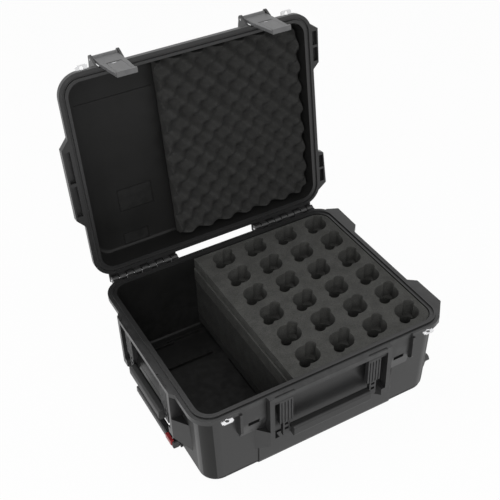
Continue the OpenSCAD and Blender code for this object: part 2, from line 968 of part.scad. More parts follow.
// Egg-crate foam in the lid, one closed surface over a grid
module lid_foam() {
  x0 = foam_left + 1;
  x1 = foam_right - lid_draft - 2;
  y0 = -inner_d / 2 + lid_draft + 3;
  y1 = inner_d / 2 - lid_draft - 3;
  z_back = roof_z - plate - 0.4;
  z_face = z_back - crate_t;
  nx = crate_cols;
  ny = crate_rows;
  r = inner_r;
  face = [
    for (j = [0 : ny], i = [0 : nx])
      let (
        x = x0 + (x1 - x0) * i / nx,
        c = x > x1 - r ? r - sqrt(max(0, r * r - pow(x - x1 + r, 2))) : 0,
        y = y0 + c + (y1 - y0 - 2 * c) * j / ny
      )
        [x, y, z_face + crate(x - x0, y - y0)]
  ];
  rim = concat(
    [for (i = [0 : nx - 1]) i],
    [for (j = [0 : ny - 1]) nx + j * (nx + 1)],
    [for (i = [0 : nx - 1]) ny * (nx + 1) + nx - i],
    [for (j = [0 : ny - 1]) (ny - j) * (nx + 1)]
  );
  nr = len(rim);
  nf = len(face);
  bevel = edge_r / 2 + 1;
  middle = [(x0 + x1) / 2, (y0 + y1) / 2, z_back];
  shrink = [1 - 2 * bevel / (x1 - x0), 1 - 2 * bevel / (y1 - y0)];
  side = [for (k = rim) [face[k][0], face[k][1], z_back - bevel]];
  back = [
    for (k = rim)
      [
        middle[0] + (face[k][0] - middle[0]) * shrink[0],
        middle[1] + (face[k][1] - middle[1]) * shrink[1], z_back
      ]
  ];
  cells = [
    for (j = [0 : ny - 1], i = [0 : nx - 1], h = [0, 1])
      let (a = j * (nx + 1) + i)
        h == 0 ? [a, a + 1, a + nx + 2] : [a, a + nx + 2, a + nx + 1]
  ];
  sides = [
    for (k = [0 : nr - 1], h = [0, 1])
      let (n = (k + 1) % nr)
        h == 0 ? [rim[n], rim[k], nf + k] : [rim[n], nf + k, nf + n]
  ];
  bevels = [
    for (k = [0 : nr - 1], h = [0, 1])
      let (n = (k + 1) % nr)
        h == 0 ? [nf + n, nf + k, nf + nr + k] : [nf + n, nf + nr + k, nf + nr + n]
  ];
  closing = [for (k = [0 : nr - 1]) [nf + nr + (k + 1) % nr, nf + nr + k, nf + 2 * nr]];
  color([0.2, 0.2, 0.2])
    opened()
      polyhedron(concat(face, side, back, [middle]), concat(cells, sides, bevels, closing));
}

// Lid

module lid_shell() {
  color([0.3, 0.3, 0.31])
    opened()
      difference() {
        union() {
          difference() {
            mirror_up()
              tub(body_w, body_d, body_r, 2 * base_h - roof_z, 2 * base_h - lid_z, lid_draft, edge_r);
            mirror_up()
              tub(inner_w, inner_d, inner_r, 2 * base_h - roof_z + plate, 2 * base_h - lid_z + 1,
                lid_draft, edge_r / 2);
          }
          rim(lid_z) {
            guard(-1, lid_guard_front, lid_z);
            guard(1, lid_guard_rear, lid_z);
            mirror([1, 0, 0])
              guard(-1, lid_guard_left, lid_z);
          }
          hinge_covers();
          for (s = [-1, 1])
            latch_ears(s);
          knuckle_row(1)
            lid_knuckle();
          stack_ribs();
        }
        translate([0, 0, lid_z])
          seal_ring(seal_w, seal_t);
        for (s = [-1, 1])
          translate([s * latch_x - bay_w / 2, -case_d / 2 - 10, lid_z - 1])
            cube([bay_w, 10 + rim_out - 9.5, rim_t + 2]);
        pin_bores();
        hasp_slots(lid_z);
        lid_grooves();
        guard_slots();
      }
}

// Strips of the lid rim that reach over the base's knuckles
module hinge_covers() {
  for (s = [-1, 1])
    translate([s > 0 ? hinge_in : -hinge_in - hinge_l, hinge_y - hinge_back - 3, lid_z + cover_up])
      cube([hinge_l, hinge_back + 3 + cover_back, cover_t]);
}

// Pockets in the guards' undersides, with a rib between them
module guard_slots() {
  for (s = [-1, 1], p = guard_pockets)
    translate([case_w / 2 + 1, s > 0 ? case_d / 2 - p[1] : -case_d / 2 + p[0], lid_z - 1])
      cube([guard_out - 6, p[1] - p[0], guard_h - 4]);
  for (p = left_pockets)
    translate([-case_w / 2 - guard_out + 4, -case_d / 2 + p[0], lid_z - 1])
      cube([guard_out - 5, p[1] - p[0], guard_h - 4]);
}

// Flips the lid's tub, which is drawn like the base's, about the rim plane
module mirror_up() {
  translate([0, 0, 2 * base_h])
    mirror([0, 0, 1])
      children();
}

module latch_ears(s) {
  for (m = [-1, 1])
    translate([s * latch_x + m * (bay_w / 2 + ear_t / 2) - ear_t / 2, 0, 0])
      difference() {
        rotate([90, 0, 90])
          linear_extrude(ear_t)
            union() {
              translate([latch_pin_y, latch_pin_z])
                circle(r = ear_r);
              polygon([
                [-body_d / 2 + wall / 2 + 2, latch_pin_z + 16], [latch_pin_y + 2, latch_pin_z + ear_r - 0.3],
                [latch_pin_y - ear_r + 0.5, latch_pin_z - 3],
                [-case_d / 2 + 1, lid_z + rim_t - 1], [-body_d / 2 + wall / 2, lid_z + rim_t - 1]
              ]);
            }
        translate([-1, latch_pin_y, latch_pin_z])
          rod(latch_pin_r + fit, ear_t + 2);
      }
}

module lid_knuckle() {
  knuckle();
  translate([0, hinge_y - hinge_back - 3, lid_z])
    cube([hinge_l / knuckles - knuckle_gap, hinge_back + 3, 8]);
  translate([0, hinge_y, hinge_z])
    intersection() {
      translate([0, -knuckle_r, 0])
        cube([hinge_l / knuckles - knuckle_gap, 2 * knuckle_r, knuckle_r + 5]);
      union() {
        translate([0, -knuckle_r + 1.5, 0])
          cube([hinge_l / knuckles - knuckle_gap, 2 * knuckle_r - 3, knuckle_r + 5]);
      }
    }
}

// Raised pads on the lid that take another case's feet between them
module stack_ribs() {
  for (x = [-1, 1], y = [-1, 1])
    translate([x * (body_w / 2 - 62), y * (body_d / 2 - 60), roof_z - 1])
      linear_extrude(stack_h + 1)
        difference() {
          square([64, 64], center = true);
          translate([-x * 12, -y * 12])
            square([60, 60], center = true);
        }
  for (x = [-150, -50, 50, 150])
    translate([x - 9, -body_d / 2 + 70, roof_z - 1])
      cube([18, body_d - 140, stack_h - 3]);
}

// Seam lines moulded in the lid's ceiling
module lid_grooves() {
  translate([-inner_w / 2 + lid_draft + 14, groove_y, roof_z - plate - 1])
    cube([foam_left + inner_w / 2 - lid_draft - 16, 2, 2.5]);
  for (panel = lid_panels)
    translate([panel[0], panel[1], roof_z - plate - 1])
      difference() {
        cube([panel[2], panel[3], 1 + line_deep]);
        translate([line_w, line_w, -1])
          cube([panel[2] - 2 * line_w, panel[3] - 2 * line_w, 3 + line_deep]);
      }
}

module lid_seal() {
  color([0.05, 0.05, 0.05])
    opened()
      translate([0, 0, lid_z + seal_t - 1.8])
        seal_ring(seal_w - 0.6, 1.5);
}

module lid_hasp_left() {
  color([0.85, 0.85, 0.86])
    opened()
      hasp(-hasp_x, lid_z);
}

module lid_hasp_right() {
  color([0.85, 0.85, 0.86])
    opened()
      hasp(hasp_x, lid_z);
}

module latch_pin(s) {
  color([0.75, 0.75, 0.77])
    opened()
      translate([s * latch_x - bay_w / 2 - ear_t, latch_pin_y, latch_pin_z])
        rod(latch_pin_r, bay_w + 2 * ear_t);
}

module latch_pin_left() {
  latch_pin(-1);
}

module latch_pin_right() {
  latch_pin(1);
}

// Latch plate with a window for its trigger, drawn at x = 0
module latch(s) {
  color([0.45, 0.45, 0.46])
    opened()
      translate([s * latch_x, 0, 0])
        difference() {
          union() {
            translate([0, plate_y, base_h])
              rotate([90, 0, 0])
                linear_extrude(latch_t)
                  polygon([
                    [-latch_w / 2, latch_up], [-latch_w / 2, -trigger_top], [-latch_tip / 2, -latch_down],
                    [latch_tip / 2, -latch_down], [latch_w / 2, -trigger_top], [latch_w / 2, latch_up]
                  ]);
            translate([-latch_w / 2, latch_pin_y, latch_pin_z])
              rod(boss_r, latch_w);
            translate([-latch_tip / 2, plate_y - latch_t - 4, base_h - latch_down])
              cube([latch_tip, 4 + eps, 6]);
          }
          translate([-trigger_w / 2 - clear, plate_y - latch_t - 1, base_h - trigger_down - clear])
            cube([trigger_w + 2 * clear, latch_t + 2, trigger_down - trigger_top + 2 * clear]);
          translate([-latch_w / 2 - 1, latch_pin_y, latch_pin_z])
            rod(latch_pin_r + fit, latch_w + 2);
          translate([-trigger_w / 2 - 6, trigger_y, trigger_z])
            rod(trigger_pin_r + fit, trigger_w + 12);
        }
}

module latch_left() {
  latch(-1);
}

module latch_right() {
  latch(1);
}

// Release trigger with the hook that goes under the base's lug
module trigger(s) {
  color([0.5, 0.5, 0.51])
    opened()
      translate([s * latch_x, 0, 0])
        difference() {
          union() {
            translate([-trigger_w / 2, plate_y - latch_t, base_h - trigger_down])
              cube([trigger_w, latch_t - 1, trigger_down - trigger_top - 7]);
            translate([-trigger_w / 2, trigger_y, trigger_z])
              rod(latch_t / 2, trigger_w);
            translate([-11, plate_y - 3, base_h - hook_down - 7])
              cube([22, 3 + hook_reach, 7]);
          }
          translate([-trigger_w / 2 - 1, trigger_y, trigger_z])
            rod(trigger_pin_r + fit, trigger_w + 2);
          translate([-5.5, plate_y - latch_t - 1, trigger_z - 4])
            cube([11, latch_t + 2, 9]);
        }
}

module trigger_left() {
  trigger(-1);
}

module trigger_right() {
  trigger(1);
}

module trigger_pin(s) {
  color([0.75, 0.75, 0.77])
    opened()
      translate([s * latch_x - trigger_w / 2 - 5.5, trigger_y, trigger_z])
        rod(trigger_pin_r, trigger_w + 11);
}

module trigger_pin_left() {
  trigger_pin(-1);
}

module trigger_pin_right() {
  trigger_pin(1);
}

// Torsion spring round the trigger pin, closed coils
module trigger_spring(s) {
  color([0.7, 0.7, 0.72])
    opened()
      translate([s * latch_x - 5, trigger_y, trigger_z])
        difference() {
          rod(trigger_pin_r + 1.2, 10);
          translate([-1, 0, 0])
            rod(trigger_pin_r + 0.2, 12);
        }
}

module trigger_spring_left() {
  trigger_spring(-1);
}

module trigger_spring_right() {
  trigger_spring(1);
}

// Carrying handles, drawn hanging, with -Y pointing out of the wall

module handle_arm(handle_w) {
  x0 = handle_w / 2 - arm_w;
  y0 = -pivot_out - arm_t / 2;
  difference() {
    union() {
      translate([x0, y0, base_h - pivot_down - rib_l])
        cube([arm_w, arm_t, rib_l]);
      translate([x0, -pivot_out, base_h - pivot_down])
        rod(arm_t / 2, arm_w + arm_gap + 9.6);
      translate([x0 + 7, y0 + 1, base_h - grip_down - foot_reach])
        cube([17, arm_t - 2, grip_down + foot_reach - pivot_down - rib_l + 6]);
    }
    translate([x0 - 1, -pivot_out, base_h - pivot_down])
      rod(handle_pin_r + fit, arm_w + arm_gap + 20);
    for (i = [0 : 3])
      translate([x0 + 3.5 + i * 7.5, y0 - 1, base_h - pivot_down - rib_l - 1])
        cube([2.5, 3, rib_l - 4]);
    for (z = rung_z)
      translate([x0 + 11, y0 - 1, base_h - pivot_down - z - 7])
        cube([9, arm_t + 2, 7]);
  }
}

module handle_frame(handle_w) {
  color([0.35, 0.35, 0.35]) {
    for (s = [0, 1])
      mirror([s, 0, 0])
        handle_arm(handle_w);
    translate([-handle_w / 2 + arm_w - 20, -pivot_out, base_h - grip_down])
      rod(arm_t / 2 - 1, handle_w - 2 * arm_w + 40);
  }
}

module handle_grip(handle_w) {
  span = handle_w - 2 * arm_w + 8;
  color([0.2, 0.2, 0.2])
    difference() {
      translate([-span / 2, -pivot_out - grip_t / 2 + 3, base_h - grip_down])
        rotate([90, 0, 90])
          linear_extrude(span)
            union() {
              square([grip_t - 12, grip_h], center = true);
              square([grip_t, grip_h - 12], center = true);
              for (i = [-1, 1], j = [-1, 1])
                translate([i * (grip_t / 2 - 6), j * (grip_h / 2 - 6)])
                  circle(6);
            }
      translate([-span / 2 - 1, -pivot_out, base_h - grip_down])
        rod(arm_t / 2 - 0.9, span + 2);
    }
}

module front_handle_frame() {
  on_front()
    handle_frame(front_handle_w);
}

module front_handle_grip() {
  on_front()
    handle_grip(front_handle_w);
}

module side_handle_frame() {
  on_left()
    handle_frame(side_handle_w);
}

module side_handle_grip() {
  on_left()
    handle_grip(side_handle_w);
}

// Pull handle

module pull_tube(s) {
  color([0.6, 0.6, 0.62])
    translate([pull_x - pull_socket, s * tube_y, tube_z])
      difference() {
        rod(tube_r, tube_l);
        translate([-1, 0, 0])
          rod(tube_r - tube_wall, tube_l + 2);
      }
}

module pull_tube_front() {
  pull_tube(-1);
}

module pull_tube_rear() {
  pull_tube(1);
}

module pull_grip() {
  color([0.12, 0.12, 0.12])
    difference() {
      translate([pull_x - pull_t, -pull_w / 2, tube_z - pull_h / 2])
        rotate([-90, 0, 0])
          linear_extrude(pull_w)
            translate([pull_t / 2, -pull_h / 2])
              union() {
                square([pull_t - 8, pull_h], center = true);
                square([pull_t, pull_h - 8], center = true);
                for (i = [-1, 1], j = [-1, 1])
                  translate([i * (pull_t / 2 - 4), j * (pull_h / 2 - 4)])
                    circle(4);
              }
      for (s = [-1, 1])
        translate([pull_x - pull_socket - 0.2, s * tube_y, tube_z])
          rod(tube_r + 0.2, 20);
      translate([pull_x - pull_t - 1, button_y - clear, tube_z - 2 - clear])
        cube([pull_t + 0.8 - pull_socket - button_web, button_l + 2 * clear, 20]);
    }
}

// Red button at the front end of the pull grip
module release_button() {
  color([0.62, 0.1, 0.12])
    difference() {
      translate([pull_x - pull_t - button_out, button_y, tube_z - 2])
        cube([button_t, button_l, pull_h / 2 + 3.5]);
      translate([pull_x - pull_t - button_out + 1.5, button_y + button_l / 2, tube_z + 3])
        rod(2.8, button_t);
    }
}

module button_spring() {
  color([0.7, 0.7, 0.72])
    translate([pull_x - pull_socket - button_web - 0.3 - button_t + 2.2, button_y + button_l / 2, tube_z + 3])
      difference() {
        rod(2.4, button_t - 2.2);
        translate([-1, 0, 0])
          rod(1.4, 20);
      }
}

// Wheels

module at_wheel(s) {
  translate([wheel_x, s * wheel_y, wheel_z])
    rotate([90, 0, 0])
      children();
}

module tyre(s) {
  edge = 5;
  color([0.05, 0.05, 0.05])
    at_wheel(s)
      rotate_extrude($fn = 96)
        difference() {
          union() {
            translate([hub_r, -wheel_w / 2])
              square([wheel_r - hub_r - edge, wheel_w]);
            translate([hub_r, -wheel_w / 2 + edge])
              square([wheel_r - hub_r, wheel_w - 2 * edge]);
            for (i = [-1, 1])
              translate([wheel_r - edge, i * (wheel_w / 2 - edge)])
                circle(edge, $fn = 32);
          }
          for (i = [-1, 1])
            translate([wheel_r + 1, i * 5])
              circle(2, $fn = 16);
        }
}

module tyre_front() {
  tyre(-1);
}

module tyre_rear() {
  tyre(1);
}

module hub(s) {
  color([0.2, 0.2, 0.2])
    at_wheel(s)
      difference() {
        union() {
          difference() {
            cylinder(r = hub_r - fit, h = wheel_w - 4, center = true);
            cylinder(r = hub_r - 4, h = wheel_w, center = true);
          }
          cylinder(r = bearing_r + 4, h = wheel_w - 4, center = true);
          for (a = [0 : 60 : 300])
            rotate([0, 0, a])
              translate([bearing_r + 2, -2.5, -wheel_w / 2 + 4])
                cube([hub_r - bearing_r - 5, 5, wheel_w - 8]);
          cylinder(r = hub_r - 2, h = 4, center = true);
        }
        cylinder(r = bearing_r - 3, h = wheel_w, center = true);
        for (m = [0, 1])
          mirror([0, 0, m])
            translate([0, 0, wheel_w / 2 - 2 - bearing_w])
              cylinder(r = bearing_r + fit, h = 20);
      }
}

module hub_front() {
  hub(-1);
}

module hub_rear() {
  hub(1);
}

module bearings(s) {
  color([0.7, 0.7, 0.72])
    at_wheel(s)
      for (m = [0, 1])
        mirror([0, 0, m])
          translate([0, 0, wheel_w / 2 - 2 - bearing_w])
            difference() {
              cylinder(r = bearing_r, h = bearing_w);
              translate([0, 0, -1])
                cylinder(r = axle_r + fit, h = bearing_w + 2);
            }
}

module bearings_front() {
  bearings(-1);
}

module bearings_rear() {
  bearings(1);
}

base_shell();
mic_foam_top();
mic_foam_top_rear();
mic_foam_top_edge();
mic_foam_layer();
mic_foam_layer_edge();
mic_foam_bars();
mic_foam_end();
mic_foam_base();
base_hasp_left();
base_hasp_right();
guide_tube_front();
guide_tube_rear();
wheel_liner_front();
wheel_liner_rear();
axle_front();
axle_rear();
liner_screws();
front_handle_pins();
side_handle_pins();
pressure_vent();
vent_seal();
hinge_pin_left();
hinge_pin_right();
lid_shell();
lid_seal();
lid_foam();
lid_hasp_left();
lid_hasp_right();
latch_pin_left();
latch_pin_right();
latch_left();
latch_right();
trigger_left();
trigger_right();
trigger_pin_left();
trigger_pin_right();
trigger_spring_left();
trigger_spring_right();
front_handle_frame();
front_handle_grip();
side_handle_frame();
side_handle_grip();
pull_tube_front();
pull_tube_rear();
pull_grip();
release_button();
button_spring();
tyre_front();
hub_front();
bearings_front();
tyre_rear();
hub_rear();
bearings_rear();
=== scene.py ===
# Wheeled case for 24 hand-held microphones, lid open, on a pale studio floor.
# Metres. The case's own frame: +X to the wheels, +Y to the hinge, +Z up.
import math

import bmesh
import bpy
import numpy as np
from mathutils import Matrix, Vector
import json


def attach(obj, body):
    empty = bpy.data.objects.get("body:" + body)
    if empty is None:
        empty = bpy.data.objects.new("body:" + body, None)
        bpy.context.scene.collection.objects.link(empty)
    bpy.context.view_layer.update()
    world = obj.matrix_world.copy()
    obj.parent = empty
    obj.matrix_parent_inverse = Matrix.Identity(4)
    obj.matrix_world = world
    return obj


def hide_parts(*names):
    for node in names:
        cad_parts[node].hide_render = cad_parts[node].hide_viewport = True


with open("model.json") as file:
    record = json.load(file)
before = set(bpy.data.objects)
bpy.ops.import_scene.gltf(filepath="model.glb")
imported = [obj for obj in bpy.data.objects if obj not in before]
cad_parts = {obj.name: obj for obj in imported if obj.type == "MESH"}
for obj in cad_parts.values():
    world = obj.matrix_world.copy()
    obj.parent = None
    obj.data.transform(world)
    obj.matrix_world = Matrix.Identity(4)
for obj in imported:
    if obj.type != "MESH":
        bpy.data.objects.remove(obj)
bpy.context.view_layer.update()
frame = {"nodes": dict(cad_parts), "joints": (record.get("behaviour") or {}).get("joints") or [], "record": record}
nodes = frame["nodes"]
bodyNodes = frame["record"]["behaviour"]["bodies"]
bodyOf = {n: body for body, members in bodyNodes.items() for n in members}
print("frame loaded,", len(nodes), "nodes")


def newMaterial(name):
    mat = bpy.data.materials.new(name)
    mat.use_nodes = True
    tree = mat.node_tree
    shader = next(n for n in tree.nodes if n.type == "BSDF_PRINCIPLED")
    return mat, tree, shader


def addNode(tree, kind, values=None, **settings):
    node = tree.nodes.new(kind)
    for key, value in settings.items():
        setattr(node, key, value)
    for key, value in (values or {}).items():
        node.inputs[key].default_value = value
    return node


def objectCoords(tree, scale=(1, 1, 1)):
    coords = addNode(tree, "ShaderNodeTexCoord")
    mapping = addNode(tree, "ShaderNodeMapping", {"Scale": scale})
    tree.links.new(coords.outputs["Object"], mapping.inputs["Vector"])
    return mapping.outputs["Vector"]


def ramp(tree, source, stops):
    node = addNode(tree, "ShaderNodeValToRGB")
    elements = node.color_ramp.elements
    while len(elements) < len(stops):
        elements.new(0.5)
    for element, (place, colour) in zip(elements, stops):
        element.position = place
        element.color = (*colour, 1) if len(colour) == 3 else colour
    tree.links.new(source, node.inputs["Fac"])
    return node.outputs["Color"]


def mixColour(tree, factor, a, b, blend="MIX"):
    node = addNode(tree, "ShaderNodeMix", data_type="RGBA", blend_type=blend)
    for socket, value in ((node.inputs[0], factor), (node.inputs[6], a), (node.inputs[7], b)):
        if isinstance(value, bpy.types.NodeSocket):
            tree.links.new(value, socket)
        elif isinstance(value, (int, float)):
            socket.default_value = value
        else:
            socket.default_value = (*value, 1)
    return node.outputs[2]


def addBump(tree, shader, height, strength, distance, below=None):
    bump = addNode(tree, "ShaderNodeBump", {"Strength": strength, "Distance": distance})
    tree.links.new(height, bump.inputs["Height"])
    if below is not None:
        tree.links.new(below, bump.inputs["Normal"])
    tree.links.new(bump.outputs["Normal"], shader.inputs["Normal"])
    return bump.outputs["Normal"]


mouldedLooks = {
    "grainSize": 900.0,
    "grainDepth": 0.00022,
    "grainStrength": 0.35,
    "blotchSize": 9.0,
    "blotchDark": 0.88,
    "blotchLight": 1.12,
    "rubSize": 60.0,
    "rubFrom": 0.515,
    "rubTo": 0.6,
    "smoother": 0.04,
    "rougher": 0.05,
}


def mouldedPlastic(name, colour, roughness, worn=0.012, grain=1.0, gloss=0.5):
    # fine leather-like grain, faint cloudy patches, and paler rubbed edges
    looks = mouldedLooks
    black, white = (0, 0, 0), (1, 1, 1)
    mat, tree, shader = newMaterial(name)
    coords = objectCoords(tree)
    cloud = addNode(tree, "ShaderNodeTexNoise", {"Scale": looks["blotchSize"], "Detail": 4.0})
    tree.links.new(coords, cloud.inputs["Vector"])
    dark = tuple(c * looks["blotchDark"] for c in colour)
    light = tuple(c * looks["blotchLight"] + 0.001 for c in colour)
    base = ramp(tree, cloud.outputs["Fac"], [(0.3, dark), (0.7, light)])
    geometry = addNode(tree, "ShaderNodeNewGeometry")
    corners = [(looks["rubFrom"], black), (looks["rubTo"], white)]
    edges = ramp(tree, geometry.outputs["Pointiness"], corners)
    rub = addNode(tree, "ShaderNodeTexNoise", {"Scale": looks["rubSize"], "Detail": 3.0})
    tree.links.new(coords, rub.inputs["Vector"])
    patches = ramp(tree, rub.outputs["Fac"], [(0.35, black), (0.65, white)])
    rubbed = mixColour(tree, 1.0, edges, patches, "MULTIPLY")
    rubTone = tuple(c + worn for c in light)
    tree.links.new(mixColour(tree, rubbed, base, rubTone), shader.inputs["Base Color"])
    pores = addNode(tree, "ShaderNodeTexVoronoi", {"Scale": looks["grainSize"]})
    tree.links.new(coords, pores.inputs["Vector"])
    rough = ramp(tree, cloud.outputs["Fac"], [
        (0.2, (roughness - looks["smoother"],) * 3), (0.8, (roughness + looks["rougher"],) * 3)
    ])
    tree.links.new(rough, shader.inputs["Roughness"])
    strength = looks["grainStrength"] * grain
    addBump(tree, shader, pores.outputs["Distance"], strength, looks["grainDepth"])
    shader.inputs["Specular IOR Level"].default_value = gloss
    return mat


foamLooks = {
    "cellSize": 1100.0,
    "speckSize": 420.0,
    "mottleSize": 38.0,
}


def openCellFoam(name, colour, speck=0.35, mottle=0.2):
    # open cells as a fine pitted bump, pale specks of cut cell walls, slow mottling
    mat, tree, shader = newMaterial(name)
    coords = objectCoords(tree)
    cells = addNode(tree, "ShaderNodeTexVoronoi", {"Scale": foamLooks["cellSize"]})
    specks = addNode(tree, "ShaderNodeTexNoise", {
        "Scale": foamLooks["speckSize"], "Detail": 5.0, "Roughness": 0.7
    })
    clouds = addNode(tree, "ShaderNodeTexNoise", {"Scale": foamLooks["mottleSize"], "Detail": 3.0})
    for texture in (cells, specks, clouds):
        tree.links.new(coords, texture.inputs["Vector"])
    dark = tuple(c * (1 - speck) for c in colour)
    light = tuple(c * (1 + speck) for c in colour)
    base = ramp(tree, specks.outputs["Fac"], [(0.3, dark), (0.5, colour), (0.7, light)])
    shade = ramp(tree, clouds.outputs["Fac"], [
        (0.3, (1 - mottle,) * 3), (0.7, (1 + mottle / 2,) * 3)
    ])
    tree.links.new(mixColour(tree, 1.0, base, shade, "MULTIPLY"), shader.inputs["Base Color"])
    first = addBump(tree, shader, cells.outputs["Distance"], 0.6, 0.0006)
    addBump(tree, shader, specks.outputs["Fac"], 0.5, 0.0012, first)
    shader.inputs["Roughness"].default_value = 0.95
    shader.inputs["Specular IOR Level"].default_value = 0.2
    return mat


def brightSteel(name, colour, roughness, brushed=0.3):
    # drawn or rolled steel: fine lines one way, slight tarnish
    mat, tree, shader = newMaterial(name)
    coords = objectCoords(tree, scale=(60, 2200, 2200))
    lines = addNode(tree, "ShaderNodeTexNoise", {"Scale": 1.0, "Detail": 3.0})
    tree.links.new(coords, lines.inputs["Vector"])
    tint = ramp(tree, lines.outputs["Fac"], [
        (0.3, tuple(c * 0.9 for c in colour)), (0.7, colour)
    ])
    tree.links.new(tint, shader.inputs["Base Color"])
    rough = ramp(tree, lines.outputs["Fac"], [
        (0.3, (roughness * 0.8,) * 3), (0.7, (roughness * 1.25,) * 3)
    ])
    tree.links.new(rough, shader.inputs["Roughness"])
    shader.inputs["Metallic"].default_value = 1.0
    addBump(tree, shader, lines.outputs["Fac"], brushed, 0.00005)
    return mat


def smoothRubber(name, colour, roughness, size=700.0):
    mat, tree, shader = newMaterial(name)
    coords = objectCoords(tree)
    grain = addNode(tree, "ShaderNodeTexNoise", {"Scale": size, "Detail": 2.0})
    dust = addNode(tree, "ShaderNodeTexNoise", {"Scale": 25.0, "Detail": 4.0})
    for texture in (grain, dust):
        tree.links.new(coords, texture.inputs["Vector"])
    tree.links.new(ramp(tree, dust.outputs["Fac"], [
        (0.3, tuple(c * 0.85 for c in colour)), (0.75, tuple(c * 1.2 for c in colour))
    ]), shader.inputs["Base Color"])
    shader.inputs["Roughness"].default_value = roughness
    addBump(tree, shader, grain.outputs["Fac"], 0.25, 0.0002)
    return mat


tones = {
    "shell": (0.014, 0.014, 0.0142),
    # the shell's tone darkened, as painted shade for the hollows of the shells and the side handle's pocket
    "inside": (0.010, 0.010, 0.0098),
    "latch": (0.115, 0.115, 0.117),
    "handle": (0.012, 0.012, 0.0125),
    "foam": (0.074, 0.074, 0.070),
    # the foam's tone darkened, as painted shade for the bars and base deep in the sockets
    "paintedShadeDeepFoam": (0.030, 0.030, 0.029),
    # the foam's tone darkened, as painted shade for the dim end face of the foam
    "paintedShadeSideFoam": (0.044, 0.044, 0.042),
    "crate": (0.032, 0.032, 0.031),
    "rubber": (0.012, 0.012, 0.012),
    "steel": (0.80, 0.80, 0.81),
    "tube": (0.42, 0.42, 0.43),
    "red": (0.30, 0.018, 0.022),
}

shellPlastic = mouldedPlastic("shellPlastic", tones["shell"], 0.34, grain=0.6)
# a darker, less glossy copy of the shell plastic: painted shade for the hollows
insidePlastic = mouldedPlastic(
    "insidePlastic", tones["inside"], 0.4, worn=0.006, grain=0.6, gloss=0.17
)
latchPlastic = mouldedPlastic("latchPlastic", tones["latch"], 0.42)
handlePlastic = mouldedPlastic("handlePlastic", tones["handle"], 0.45)
redPlastic = mouldedPlastic("redPlastic", tones["red"], 0.35, worn=0.02, grain=0.4)
micFoam = openCellFoam("micFoam", tones["foam"])
# a darker copy of the foam: painted shade for the bars and base deep in the sockets
paintedShadeDeepFoam = openCellFoam("paintedShadeDeepFoam", tones["paintedShadeDeepFoam"])
# a darker copy of the foam: painted shade for the foam's end face
paintedShadeSideFoam = openCellFoam("paintedShadeSideFoam", tones["paintedShadeSideFoam"])
crateFoam = openCellFoam("crateFoam", tones["crate"], speck=0.25)
hasp = brightSteel("hasp", tones["steel"], 0.22)
plainSteel = brightSteel("plainSteel", tuple(c * 0.8 for c in tones["steel"]), 0.35)
tubeMetal = brightSteel("tubeMetal", tones["tube"], 0.3)
gripRubber = smoothRubber("gripRubber", tuple(c * 1.3 for c in tones["rubber"]), 0.5)
sealRubber = smoothRubber("sealRubber", tones["rubber"], 0.55)
tyreRubber = smoothRubber("tyreRubber", tones["rubber"], 0.7, size=350.0)
print("materials made")


def plainCopy(name, *members):
    # one object from the meshes of one or more nodes, its equal points merged
    mesh = bpy.data.meshes.new(name)
    piece = bpy.data.objects.new(name, mesh)
    bpy.context.scene.collection.objects.link(piece)
    work = bmesh.new()
    for node in members:
        work.from_mesh(nodes[node].data)
    for face in work.faces:
        face.material_index = 0
    bmesh.ops.remove_doubles(work, verts=work.verts, dist=2e-6)
    work.to_mesh(mesh)
    work.free()
    return piece


def dress(piece, material, *names):
    piece.data.materials.clear()
    piece.data.materials.append(material)
    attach(piece, bodyOf[names[0]])
    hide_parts(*names)
    return piece


def smoothShaded(piece, angle):
    # smooth across gentle edges, sharp across the rest
    mesh = piece.data
    mesh.polygons.foreach_set("use_smooth", np.ones(len(mesh.polygons), bool))
    mesh.set_sharp_from_angle(angle=math.radians(angle))


rounding = {
    "flatAngle": 0.4,
    "sharpAngle": 30,
    "smoothAngle": 40,
    "rows": 2,
    "evenWeight": 80,
}


def roundEdges(piece, edge):
    # the piece's coplanar triangles are joined and every sharp edge is rounded
    flat = math.radians(rounding["flatAngle"])
    work = bmesh.new()
    work.from_mesh(piece.data)
    bmesh.ops.dissolve_limit(work, angle_limit=flat, verts=work.verts, edges=work.edges)
    work.to_mesh(piece.data)
    work.free()
    bevel = piece.modifiers.new("roundedEdges", "BEVEL")
    bevel.width = edge
    bevel.segments = rounding["rows"]
    bevel.limit_method = "ANGLE"
    bevel.angle_limit = math.radians(rounding["sharpAngle"])
    bevel.use_clamp_overlap = True
    bevel.harden_normals = False
    smoothShaded(piece, rounding["smoothAngle"])
    even = piece.modifiers.new("evenNormals", "WEIGHTED_NORMAL")
    even.weight = rounding["evenWeight"]
    even.keep_sharp = True


def edgedCopy(node, name, material, edge):
    piece = plainCopy(name, node)
    roundEdges(piece, edge)
    return dress(piece, material, node)


edgeLooks = {
    "shell": 0.0012,
    "latch": 0.0009,
    "handle": 0.0010,
    "steel": 0.0003,
    "wheel": 0.0008,
}

